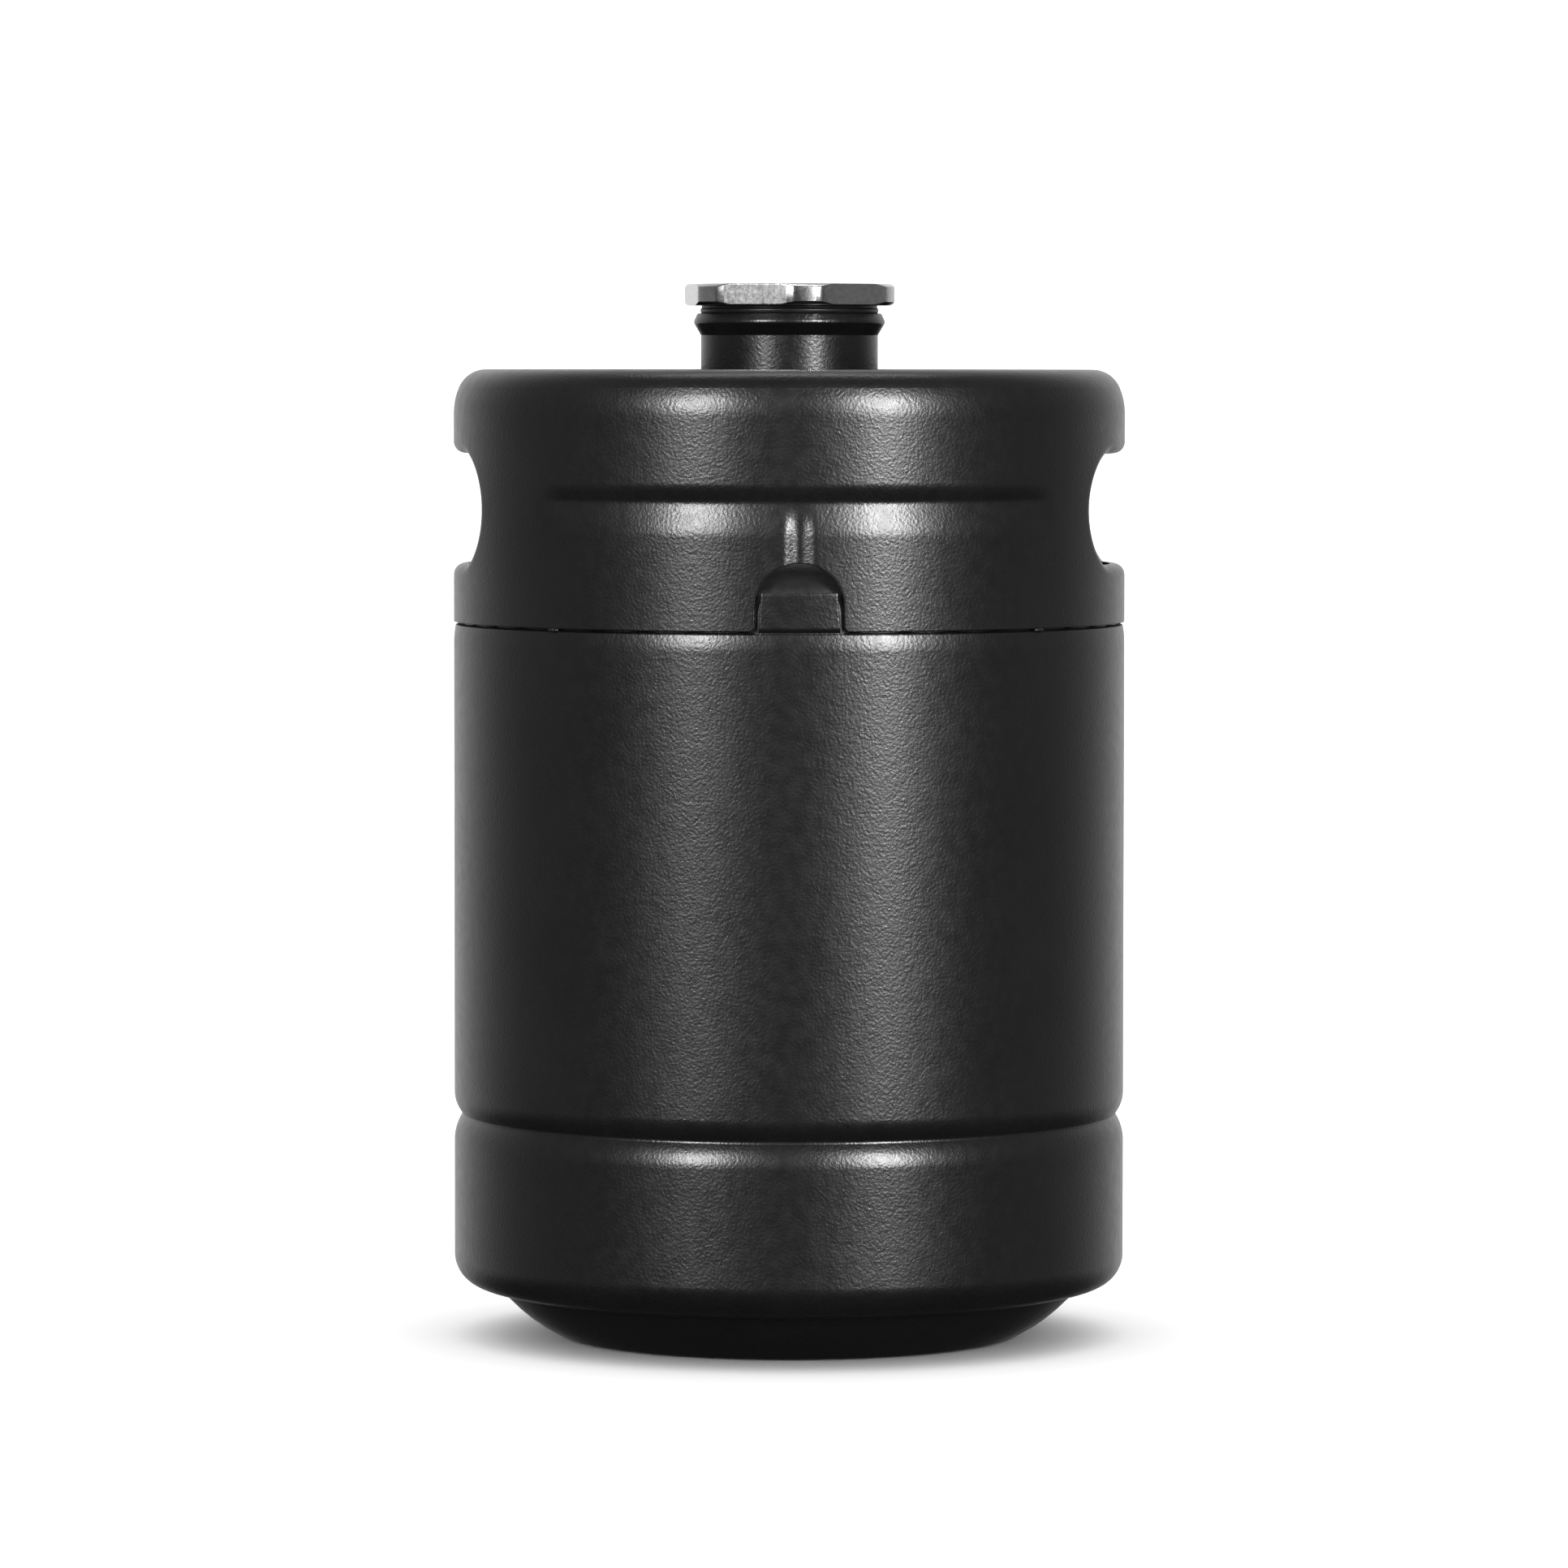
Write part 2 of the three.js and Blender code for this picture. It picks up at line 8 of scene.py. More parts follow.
import bpy
import numpy as np
from mathutils import Euler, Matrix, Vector


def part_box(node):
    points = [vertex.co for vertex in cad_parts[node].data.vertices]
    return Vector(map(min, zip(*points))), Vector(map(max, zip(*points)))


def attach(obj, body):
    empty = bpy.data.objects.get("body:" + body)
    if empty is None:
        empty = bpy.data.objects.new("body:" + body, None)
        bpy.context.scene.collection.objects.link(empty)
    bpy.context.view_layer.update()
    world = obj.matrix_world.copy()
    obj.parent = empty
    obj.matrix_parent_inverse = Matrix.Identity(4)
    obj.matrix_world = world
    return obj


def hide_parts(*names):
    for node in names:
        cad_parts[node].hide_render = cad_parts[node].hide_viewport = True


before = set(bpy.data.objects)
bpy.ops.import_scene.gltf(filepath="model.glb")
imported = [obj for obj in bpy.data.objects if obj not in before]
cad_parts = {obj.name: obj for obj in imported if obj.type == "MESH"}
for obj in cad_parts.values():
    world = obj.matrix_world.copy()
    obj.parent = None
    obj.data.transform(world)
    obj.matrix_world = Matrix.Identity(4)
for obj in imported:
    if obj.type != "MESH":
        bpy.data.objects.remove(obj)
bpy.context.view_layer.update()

MM = 0.001

# ---------------------------------------------------------------- Sizes read from the frame


def box_mm(node):
    low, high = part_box(node)
    return low / MM, high / MM


wall_low, wall_high = box_mm("body_shell")
ring_low, ring_high = box_mm("handle_ring")
dome_low, dome_high = box_mm("shoulder_dome")
neck_low, neck_high = box_mm("neck")
_, seal_high = box_mm("cap_gasket")
cap_low, cap_high = box_mm("hex_cap")

BODY_RADIUS = wall_high.x
TAB_TOP = wall_high.z
WALL_BOTTOM = wall_low.z
RING_BOTTOM = ring_low.z
RING_TOP = ring_high.z
SKIRT_RADIUS = dome_high.x
SKIRT_BOTTOM = dome_low.z
LAND_HEIGHT = dome_high.z
BEAD_RADIUS = neck_high.x
NECK_BOTTOM = neck_low.z
NECK_TOP = neck_high.z
PLUG_END = cap_low.z
CAP_TOP = cap_high.z

# ---------------------------------------------------------------- Sizes repeated from the CAD source

SHEET = 0.9
CONTACT_GAP = 0.02
BODY_TOP = RING_BOTTOM - 0.5

GROOVE_DEPTH = 1.6
GROOVE_HALF_WIDTH = 2.6
LOWER_CORNER_BEND = 6.2
BOWL_BREAK_HEIGHT = 3.3
STANDING_OUTER_BEND = 5
STANDING_INNER_BEND = 1.4
MIDDLE_EDGE_HEIGHT = 5.4
MIDDLE_CROWN_HEIGHT = 11.5
MIDDLE_BEND = 4

SHOULDER_BEND = 14
CROWN_INSET = 23.9
CROWN_RISE = 22.5
CROWN_BEND = 40
LAND_WIDTH = 4
LAND_BEND = 8

RIM_WIDTH = 8.5
RIM_CURL_BEND = 1.6
RIM_CURL_DROP = 3.6
HANDLE_HALF_WIDTH = 28.0
HANDLE_HALF_HEIGHT = 10.65
HANDLE_CENTRE = RING_BOTTOM + 21.94
HANDLE_TURN = -3.3
HANDLE_FLANGE_DEPTH = 2.9
HANDLE_ROLL = 2.2
PRESS_UPPER_HEIGHT = 3.6
PRESS_LOWER_HEIGHT = 6.5
PRESS_DEPTH = 0.9
PRESS_SPAN = 48.5
PRESS_FADE = 6
STEM_HALF_WIDTH = 3.3
STEM_DEPTH = 0.8
ARCH_HALF_WIDTH = 8.4
ARCH_CENTRE = RING_BOTTOM + 4.3
ARCH_FLARE = 1.0
TAB_HALF_WIDTH = 7.7
TAB_TAPER = 0.5

THREAD_PITCH = 3.5
THREAD_DEPTH = 1.9
NECK_RADIUS = 17.15
NECK_BORE = 13.1
MOUTH_RADIUS = 15.35
PLUG_CORE = 12.75
PLUG_CREST = 14.65
PLUG_BORE = 10.2
HEAD_BOTTOM = NECK_TOP + 1.5
HEX_APOTHEM = 19.3
HEX_TURNED_RADIUS = 20.9
HEX_CHAMFER = 0.6
HEX_CORNER_TURN = 8.4
TACK_TURNS = {"front_right": 45, "back_right": 135, "back_left": 225, "front_left": 315}

# ---------------------------------------------------------------- Sizes eased from the CAD's plainer bends
# These surfaces stay within about a millimetre of the CAD's. The base keeps the CAD's radii.

LIP_HEIGHT = WALL_BOTTOM + 0.8
LIP_RADIUS = BODY_RADIUS - 7.3
GROOVE_HEIGHT = 43.2
TOP_EDGE_HEIGHT = 3.5
TOP_EDGE_INSET = 0.35

BOWL_BEND = 34
BOWL_BREAK_RADIUS = LIP_RADIUS - 7.1
STANDING_OUTER_RADIUS = LIP_RADIUS - 13.5
STANDING_INNER_RADIUS = LIP_RADIUS - 16.1
MIDDLE_RADIUS = LIP_RADIUS - 18.1

PRESS_HEIGHT = RING_BOTTOM + 23.94
RIM_WALL_DROP = 5.75
RIM_WALL_BEND = 12
RIM_TOP_INSET = 2.56
RIM_TOP_BEND = 5.7

# ---------------------------------------------------------------- Outlines and surfaces


def bent_path(corners, degrees_per_step=7.0):
    """Points [radius, height] of a run of corners (radius, height, bend), each rounded to its bend."""
    points = []
    for i, (radius, height, *bend) in enumerate(corners):
        here = np.array([radius, height], float)
        if not bend or not 0 < i < len(corners) - 1:
            points.append(here)
            continue
        into = here - np.array(corners[i - 1][:2], float)
        out = np.array(corners[i + 1][:2], float) - here
        into /= np.hypot(*into)
        out /= np.hypot(*out)
        turn = math.atan2(into[0] * out[1] - into[1] * out[0], into @ out)
        left = np.array([-into[1], into[0]])
        start = here - into * bend[0] * math.tan(abs(turn) / 2)
        centre = start + left * bend[0] * math.copysign(1, turn)
        steps = max(2, math.ceil(abs(math.degrees(turn)) / degrees_per_step))
        for swept in np.linspace(0, turn, steps + 1):
            cosine, sine = math.cos(swept), math.sin(swept)
            arm = start - centre
            points.append(centre + [arm[0] * cosine - arm[1] * sine, arm[0] * sine + arm[1] * cosine])
    return np.array(points)


def rounded_loop(corners):
    """A closed outline with every corner rounded: it starts and ends in the middle of its last side."""
    first, last = np.array(corners[0][:2], float), np.array(corners[-1][:2], float)
    middle = tuple((first + last) / 2)
    return bent_path([middle, *corners, middle], 18)[:-1]


def refine(path, longest):
    """The same path with its long straight runs divided."""
    points = [path[0]]
    for start, end in zip(path, path[1:]):
        count = max(1, math.ceil(np.hypot(*(end - start)) / longest))
        points.extend(start + (end - start) * k / count for k in range(1, count + 1))
    return np.array(points)


def round_axis(radius, height, turns):
    """Points at these radii, heights and turns round the keg's axis."""
    radius, height, angles = np.broadcast_arrays(radius, height, np.radians(turns))
    return np.stack([radius * np.sin(angles), -radius * np.cos(angles), height], axis=-1)


def grid_faces(rows, columns, closed_rows=False, closed_columns=False, keep=None):
    """The quads of a grid of points, as point numbers. A cell is (row, column)."""
    faces = []
    for row in range(rows if closed_rows else rows - 1):
        above = (row + 1) % rows
        for column in range(columns if closed_columns else columns - 1):
            if keep is not None and not keep[row, column]:
                continue
            beside = (column + 1) % columns
            corner = (row, column), (row, beside), (above, beside), (above, column)
            faces.append([r * columns + c for r, c in corner])
    return faces


def piece(name, parts, flip=False):
    """One object from several (points, faces) parts. Points that coincide are joined."""
    points, faces = [], []
    count = 0
    for part_points, part_faces in parts:
        flat = np.asarray(part_points, float).reshape(-1, 3)
        points.append(flat)
        faces.extend([[count + i for i in face] for face in part_faces])
        count += len(flat)
    mesh = bpy.data.meshes.new(name)
    mesh.from_pydata(np.concatenate(points) * MM, [], faces)
    if flip:
        mesh.flip_normals()
    thing = bpy.data.objects.new(name, mesh)
    bpy.context.scene.collection.objects.link(thing)
    weld = thing.modifiers.new("weld", "WELD")
    weld.merge_threshold = 2e-6
    return thing


def bake(thing, crease=40):
    """Applies the modifiers, keeps edges sharper than crease, and sets even, weighted normals."""
    mesh_of(thing)
    thing.data.shade_smooth()
    thing.data.set_sharp_from_angle(angle=math.radians(crease))
    normals = thing.modifiers.new("normals", "WEIGHTED_NORMAL")
    normals.keep_sharp = True
    normals.weight = 60
    return mesh_of(thing)


def mesh_of(thing):
    graph = bpy.context.evaluated_depsgraph_get()
    baked = bpy.data.meshes.new_from_object(thing.evaluated_get(graph), depsgraph=graph)
    thing.modifiers.clear()
    thing.data = baked
    baked.name = thing.name
    return thing


def thicken(thing, edge=0.16, inner_slot=0):
    """Gives a surface its sheet thickness, inwards, and rounds its cut edges."""
    solid = thing.modifiers.new("sheet", "SOLIDIFY")
    solid.thickness = SHEET * MM
    solid.offset = -1
    solid.use_even_offset = True
    solid.use_quality_normals = True
    solid.material_offset = inner_slot
    bevel = thing.modifiers.new("edge", "BEVEL")
    bevel.width = edge * MM
    bevel.segments = 3
    bevel.limit_method = "ANGLE"
    bevel.angle_limit = math.radians(50)
    bevel.use_clamp_overlap = False
    return thing


def revolved_sheet(name, corners, columns, flip=False, inner_slot=0):
    """A bent sheet turned round the axis. The corners run along its outer face."""
    path = refine(bent_path(corners, 6), 4.0)
    turns = np.linspace(0, 360, columns, endpoint=False)
    points = round_axis(path[:, :1], path[:, 1:], turns[None, :])
    faces = grid_faces(len(path), columns, closed_columns=True)
    return thicken(piece(name, [(points, faces)], flip), inner_slot=inner_slot)


def revolved_solid(name, loop, columns, ripple=None):
    """A closed outline turned round the axis. ripple moves its points out by radius, height and turn."""
    turns = np.linspace(0, 360, columns, endpoint=False)[None, :]
    radius = np.broadcast_to(loop[:, :1], (len(loop), columns)).copy()
    height = np.broadcast_to(loop[:, 1:], (len(loop), columns)).copy()
    if ripple:
        radius, height = ripple(radius, height, turns)
    faces = grid_faces(len(loop), columns, closed_rows=True, closed_columns=True)
    return piece(name, [(round_axis(radius, height, turns), faces)])


# ---------------------------------------------------------------- Body wall


def tab_foot(rise):
    """How far a tab stands in from the wall's radius: a shallow crease where it leaves the top edge."""
    return np.interp(rise, [0, 0.25, 0.75, 1.0], [TOP_EDGE_INSET, 0.55, 0.08, 0])


def body_wall():
    """The rolled wall: one groove, a lower corner turned in to a lip, and a tab in each arch."""
    slope = math.atan2(GROOVE_DEPTH, GROOVE_HALF_WIDTH)
    flank = math.hypot(GROOVE_DEPTH, GROOVE_HALF_WIDTH)
    valley_bend = 0.8
    shoulder_bend = 0.98 * (flank - valley_bend * math.tan(slope)) / math.tan(slope / 2)
    corners = [
        (LIP_RADIUS, LIP_HEIGHT),
        (BODY_RADIUS, LIP_HEIGHT, LOWER_CORNER_BEND),
        (BODY_RADIUS, GROOVE_HEIGHT - GROOVE_HALF_WIDTH, shoulder_bend),
        (BODY_RADIUS - GROOVE_DEPTH, GROOVE_HEIGHT, valley_bend),
        (BODY_RADIUS, GROOVE_HEIGHT + GROOVE_HALF_WIDTH, 0.7 * shoulder_bend),
        (BODY_RADIUS, BODY_TOP - TOP_EDGE_HEIGHT),
    ]
    shares = np.linspace(0, 1, 9)[1:]
    drawn_in = [BODY_RADIUS - TOP_EDGE_INSET * shares**2, BODY_TOP - TOP_EDGE_HEIGHT * (1 - shares)]
    path = np.concatenate([refine(bent_path(corners, 5), 4.0), np.transpose(drawn_in)])
    tab_turn = math.degrees(math.asin(TAB_HALF_WIDTH / BODY_RADIUS))
    tab_turns = np.linspace(-tab_turn, tab_turn, 33)
    side_turns = np.linspace(tab_turn, 180 - tab_turn, 133)[1:-1]
    turns = np.concatenate([tab_turns, side_turns, tab_turns + 180, side_turns + 180])
    wall = round_axis(path[:, :1], path[:, 1:], turns[None, :])
    parts = [(wall, grid_faces(len(path), len(turns), closed_columns=True))]
    foot_rows = BODY_TOP + np.array([0, 0.12, 0.25, 0.5, 0.75, 1.0])
    rows = np.concatenate([foot_rows, np.linspace(BODY_TOP + 1.4, TAB_TOP, 9)])
    tab_radius = BODY_RADIUS - tab_foot(rows - BODY_TOP)[:, None]
    narrowing = 1 - TAB_TAPER / TAB_HALF_WIDTH * (rows - BODY_TOP) / (TAB_TOP - BODY_TOP)
    for middle in (0, 180):
        across = BODY_RADIUS * np.sin(np.radians(tab_turns))[None, :] * narrowing[:, None]
        tab_grid = np.degrees(np.arcsin(across / BODY_RADIUS)) + middle
        tab = round_axis(tab_radius, rows[:, None], tab_grid)
        parts.append((tab, grid_faces(len(rows), len(tab_turns))))
    return thicken(piece("body_wall", parts), edge=0.2, inner_slot=1)


# ---------------------------------------------------------------- Handle ring


def valley(share):
    """A pressed groove's section: 1 in its rounded valley, falling to 0 at share 1 on a soft shoulder."""
    tight = 0.08
    run = (np.sqrt(share**2 + tight**2) - tight) / (math.sqrt(1 + tight**2) - tight)
    run = np.clip(run, 0, 1)
    return (1 - run) ** 2 * (1 + 0.7 * run)


def smooth_step(value, low, high):
    """0 below low and 1 above high, with a soft start and end between them."""
    share = np.clip((value - low) / (high - low), 0, 1)
    return share * share * (3 - 2 * share)


def pressed_radius(turns, height):
    """The ring's outer radius: a level groove across the front and back, with a stem down to each arch."""
    turns = (np.asarray(turns, float) + 180) % 360 - 180
    away = np.minimum(np.abs(turns), 180 - np.abs(turns))
    fade = 1 - smooth_step(away, PRESS_SPAN - PRESS_FADE, PRESS_SPAN)
    rise = height - PRESS_HEIGHT
    level = valley(rise / np.where(rise > 0, PRESS_UPPER_HEIGHT, PRESS_LOWER_HEIGHT)) * fade
    across = np.clip(BODY_RADIUS * np.radians(away) / STEM_HALF_WIDTH, 0, 1)
    stem = STEM_DEPTH * (1 + np.cos(math.pi * across)) / 2 * (rise < 0)
    return BODY_RADIUS - PRESS_DEPTH * level - stem * (1 - level)


def on_ring(across, height, depth, middle):
    """Ring points given by their distance across, seen square on at turn middle, and a depth inwards."""
    turn = np.arcsin(np.clip(across / BODY_RADIUS, -1, 1))
    radius = pressed_radius(np.degrees(turn) + middle, height)
    sideways = radius * np.sin(turn)
    outwards = radius * np.cos(turn) - depth
    facing = math.radians(middle)
    x = sideways * math.cos(facing) + outwards * math.sin(facing)
    y = sideways * math.sin(facing) - outwards * math.cos(facing)
    return np.stack([x, y, np.broadcast_to(height, x.shape)], axis=-1)


def handle_hole(turns, rows, middle):
    """The wall round one handle hole, its rolled edge, and the flange inside it."""
    across = BODY_RADIUS * np.sin(np.radians(turns - middle))
    bottom = [(a, rows[0]) for a in across]
    right = [(across[-1], z) for z in rows[1:]]
    top = [(a, rows[-1]) for a in across[-2::-1]]
    left = [(across[0], z) for z in rows[-2:0:-1]]
    outer = np.array(bottom + right + top + left)
    core = HANDLE_HALF_WIDTH - HANDLE_HALF_HEIGHT
    root = np.stack([np.clip(outer[:, 0], -core, core), np.full(len(outer), HANDLE_CENTRE)], axis=1)
    spoke = outer - root
    spoke /= np.linalg.norm(spoke, axis=1, keepdims=True)
    edge = root + HANDLE_HALF_HEIGHT * spoke
    rings = []
    for share in np.linspace(0, 1, 7) ** 0.8:
        rings.append((outer * (1 - share) + (edge + HANDLE_ROLL * spoke) * share, 0))
    for roll in np.radians(np.linspace(10, 90, 9)):
        outside = HANDLE_ROLL * (1 - math.sin(roll))
        rings.append((edge + outside * spoke, HANDLE_ROLL * (1 - math.cos(roll))))
    for depth in (HANDLE_ROLL + 0.5, HANDLE_FLANGE_DEPTH):
        rings.append((edge, depth))
    points = np.array([on_ring(flat[:, 0], flat[:, 1], depth, middle) for flat, depth in rings])
    return points, grid_faces(len(rings), len(outer), closed_columns=True)


def drain_arch(turns, rows, middle):
    """The wall round one drain arch, whose feet flare out to the ring's lower edge."""
    across = BODY_RADIUS * np.sin(np.radians(turns - middle))
    left = [(across[0], z) for z in rows]
    top = [(a, rows[-1]) for a in across[1:]]
    right = [(across[-1], z) for z in rows[-2::-1]]
    outer = np.array(left + top + right)
    inner = np.empty_like(outer)
    for i, (a, z) in enumerate(outer):
        if z <= ARCH_CENTRE:
            rise = min(z - RING_BOTTOM, ARCH_FLARE)
            flare = ARCH_FLARE - math.sqrt(ARCH_FLARE**2 - (ARCH_FLARE - rise) ** 2)
            inner[i] = math.copysign(ARCH_HALF_WIDTH + flare, a), z
        else:
            spoke = np.array([a, z - ARCH_CENTRE])
            inner[i] = ARCH_HALF_WIDTH * spoke / np.hypot(*spoke)
            inner[i, 1] += ARCH_CENTRE
    rings = [outer * (1 - share) + inner * share for share in np.linspace(0, 1, 14) ** 0.85]
    points = np.array([on_ring(flat[:, 0], flat[:, 1], 0, middle) for flat in rings])
    return points, grid_faces(len(rings), len(outer))


def grip_ring():
    """The handle ring: its wall, two flanged holes, two arches, the pressed grooves and the rolled rim."""
    arch_turn, hole_turn, hole_middle = 12.6, 30.5, 90 + HANDLE_TURN
    near_arch = np.linspace(-arch_turn, arch_turn, 57)
    near_hole = np.linspace(hole_middle - hole_turn, hole_middle + hole_turn, 49)
    before_hole = np.linspace(arch_turn, near_hole[0], 37)[1:-1]
    after_hole = np.linspace(near_hole[-1], 180 - arch_turn, 37)[1:-1]
    side = np.concatenate([before_hole, near_hole, after_hole])
    turns = np.concatenate([near_arch, side, near_arch + 180, side + 180])

    hole_patch_half_height = 15.6
    low_hole, high_hole = HANDLE_CENTRE - hole_patch_half_height, HANDLE_CENTRE + hole_patch_half_height
    arch_top = ARCH_CENTRE + ARCH_HALF_WIDTH + 4
    press_low = PRESS_HEIGHT - PRESS_LOWER_HEIGHT - 0.2
    press_high = PRESS_HEIGHT + PRESS_UPPER_HEIGHT + 0.2
    foot = RING_BOTTOM + np.array([0, 0.12, 0.35, 0.65, 1.0, 1.8, 2.7, 3.5, ARCH_CENTRE - RING_BOTTOM])
    rows = np.concatenate([
        foot,
        np.linspace(low_hole, arch_top, 13),
        np.linspace(arch_top, press_low, 3)[1:],
        np.linspace(press_low, PRESS_HEIGHT, 17)[1:],
        np.linspace(PRESS_HEIGHT, press_high, 13)[1:],
        np.linspace(press_high, high_hole, 10)[1:],
    ])
    corners = [
        (BODY_RADIUS, high_hole),
        (BODY_RADIUS, RING_TOP - RIM_WALL_DROP, RIM_WALL_BEND),
        (BODY_RADIUS - RIM_TOP_INSET, RING_TOP, RIM_TOP_BEND),
        (BODY_RADIUS - RIM_WIDTH, RING_TOP, RIM_CURL_BEND),
        (BODY_RADIUS - RIM_WIDTH, RING_TOP - RIM_CURL_DROP),
    ]
    rim = refine(bent_path(corners, 6), 1.4)[1:]
    wall_radius = pressed_radius(turns[None, :], rows[:, None])
    wall = round_axis(wall_radius, rows[:, None], turns[None, :])
    rim_points = round_axis(rim[:, :1], rim[:, 1:], turns[None, :])
    points = np.concatenate([wall, rim_points])

    count = len(turns)
    keep = np.ones((len(points) - 1, count), bool)
    cell_rows = (rows[:-1] + rows[1:]) / 2
    in_hole_rows = (cell_rows > low_hole) & (cell_rows < high_hole)
    in_arch_rows = cell_rows < arch_top
    cell_turns = (turns + np.roll(turns, -1) + np.where(np.roll(turns, -1) < turns, 360, 0)) / 2
    for middle in (hole_middle, hole_middle + 180):
        inside = np.abs(cell_turns - middle) < hole_turn
        keep[np.ix_(np.flatnonzero(in_hole_rows), np.flatnonzero(inside))] = False
    for middle in (0, 180):
        inside = np.abs((cell_turns - middle + 180) % 360 - 180) < arch_turn
        keep[np.ix_(np.flatnonzero(in_arch_rows), np.flatnonzero(inside))] = False
    parts = [(points, grid_faces(len(points), count, closed_columns=True, keep=keep))]

    hole_rows = rows[(rows > low_hole - 0.001) & (rows < high_hole + 0.001)]
    arch_rows = rows[rows < arch_top + 0.001]
    for middle in (hole_middle, hole_middle + 180):
        parts.append(handle_hole(near_hole + middle - hole_middle, hole_rows, middle))
    for middle in (0, 180):
        hole_points, faces = drain_arch(near_arch + middle, arch_rows, middle)
        parts.append((hole_points, [face[::-1] for face in faces]))
    return thicken(piece("grip_ring", parts))


# ---------------------------------------------------------------- Other sheets and welds


def shoulder():
    """The dome: a skirt inside the body wall, a crowned slope, and a level land round the neck."""
    corners = [
        (SKIRT_RADIUS, SKIRT_BOTTOM),
        (SKIRT_RADIUS, HANDLE_CENTRE - HANDLE_HALF_HEIGHT - SHEET, SHOULDER_BEND),
        (SKIRT_RADIUS - CROWN_INSET, BODY_TOP + CROWN_RISE, CROWN_BEND),
        (NECK_RADIUS + LAND_WIDTH, LAND_HEIGHT, LAND_BEND),
        (NECK_RADIUS + 0.1, LAND_HEIGHT),
    ]
    return revolved_sheet("shoulder", corners, 240, inner_slot=1)


def base_end():
    """The pressed bottom: a sloping bowl, a standing ring and a concave middle."""
    flange_height = LIP_HEIGHT + SHEET + CONTACT_GAP
    rise = MIDDLE_CROWN_HEIGHT - MIDDLE_EDGE_HEIGHT
    sphere = (MIDDLE_RADIUS**2 + rise**2) / (2 * rise)
    edge_slope = math.asin(MIDDLE_RADIUS / sphere)
    lead_in = 8
    outline = bent_path([
        (LIP_RADIUS + 1.0, flange_height),
        (LIP_RADIUS - CONTACT_GAP, flange_height, 1.2),
        (BOWL_BREAK_RADIUS, BOWL_BREAK_HEIGHT, BOWL_BEND),
        (STANDING_OUTER_RADIUS, 0, STANDING_OUTER_BEND),
        (STANDING_INNER_RADIUS, 0, STANDING_INNER_BEND),
        (MIDDLE_RADIUS, MIDDLE_EDGE_HEIGHT, MIDDLE_BEND),
        (MIDDLE_RADIUS - lead_in, MIDDLE_EDGE_HEIGHT + lead_in * math.tan(edge_slope)),
    ], 5)[:-1]
    slopes = np.linspace(edge_slope, 0, 16)[1:]
    crown = np.stack([sphere * np.sin(slopes), MIDDLE_CROWN_HEIGHT - sphere * (1 - np.cos(slopes))], axis=1)
    path = refine(np.concatenate([outline, crown]), 3.0)
    columns = 240
    turns = np.linspace(0, 360, columns, endpoint=False)
    points = round_axis(path[:, :1], path[:, 1:], turns[None, :])
    faces = grid_faces(len(path), columns, closed_columns=True)
    return thicken(piece("base_end", [(points, faces)], flip=True), edge=0.12, inner_slot=1)


def bead_ripple(amount, beads):
    """Makes a weld bead's skin swell and sink along its length, as overlapped puddles do."""

    def ripple(radius, height, turns):
        phase = np.radians(turns) * beads
        swell = np.abs(np.sin(phase / 2)) + 0.35 * np.sin(np.radians(turns) * 7 + 1)
        middle_radius, middle_height = radius.mean(0), height.mean(0)
        share = 1 + amount * (swell - 0.6)
        moved_radius = middle_radius + (radius - middle_radius) * share
        moved_height = middle_height + (height - middle_height) * share
        return moved_radius, moved_height

    return ripple


def base_weld():
    """The bead in the corner between the lip and the bowl."""
    radius, height = LIP_RADIUS - 0.55, LIP_HEIGHT - 0.35
    loop = rounded_loop([
        (radius + 1.05, height + 0.33, 0.05),
        (radius + 0.35, height - 0.1, 0.3),
        (radius - 0.45, height - 0.35, 0.1),
        (radius + 0.45, height + 0.9, 0.1),
    ])
    return revolved_solid("base_weld", loop, 540, bead_ripple(0.07, 118))


def neck_weld():
    """The fillet bead round the neck's foot, on the dome's land."""
    root_radius, root_height, leg = NECK_RADIUS + CONTACT_GAP, LAND_HEIGHT + CONTACT_GAP, 2.8
    loop = rounded_loop([
        (root_radius, root_height, 0.05),
        (root_radius + leg, root_height, 0.12),
        (root_radius + 0.62 * leg, root_height + 0.36 * leg, 1.2),
        (root_radius + 0.28 * leg, root_height + 0.66 * leg, 1.2),
        (root_radius, root_height + leg, 0.12),
    ])
    return revolved_solid("neck_fillet", loop, 432, bead_ripple(0.05, 44))


def tack_bead(name, turn):
    """A short lump of weld across the open seam, with two overlapped puddles."""
    half_length, half_width, half_height, sunk = 1.3, 0.85, 0.56, 0.55
    along = np.linspace(-1, 1, 33)
    round_it = np.radians(np.linspace(0, 360, 28, endpoint=False))
    taper = np.sqrt(np.clip(1 - np.abs(along) ** 3, 0, 1))
    lumps = 0.86 + 0.14 * np.abs(np.cos(along * math.pi * 1.25))
    swell = (taper * lumps)[:, None]
    outwards = BODY_RADIUS - sunk + half_width * swell * np.cos(round_it)[None, :]
    upwards = (BODY_TOP + RING_BOTTOM) / 2 + half_height * swell * np.sin(round_it)[None, :]
    turns = turn + np.degrees(half_length * along / BODY_RADIUS)[:, None]
    faces = grid_faces(len(along), len(round_it), closed_columns=True)
    faces.append(list(range(len(round_it)))[::-1])
    faces.append([(len(along) - 1) * len(round_it) + i for i in range(len(round_it))])
    return piece(name, [(round_axis(outwards, upwards, turns), faces)])


# ---------------------------------------------------------------- Neck, seal and cap


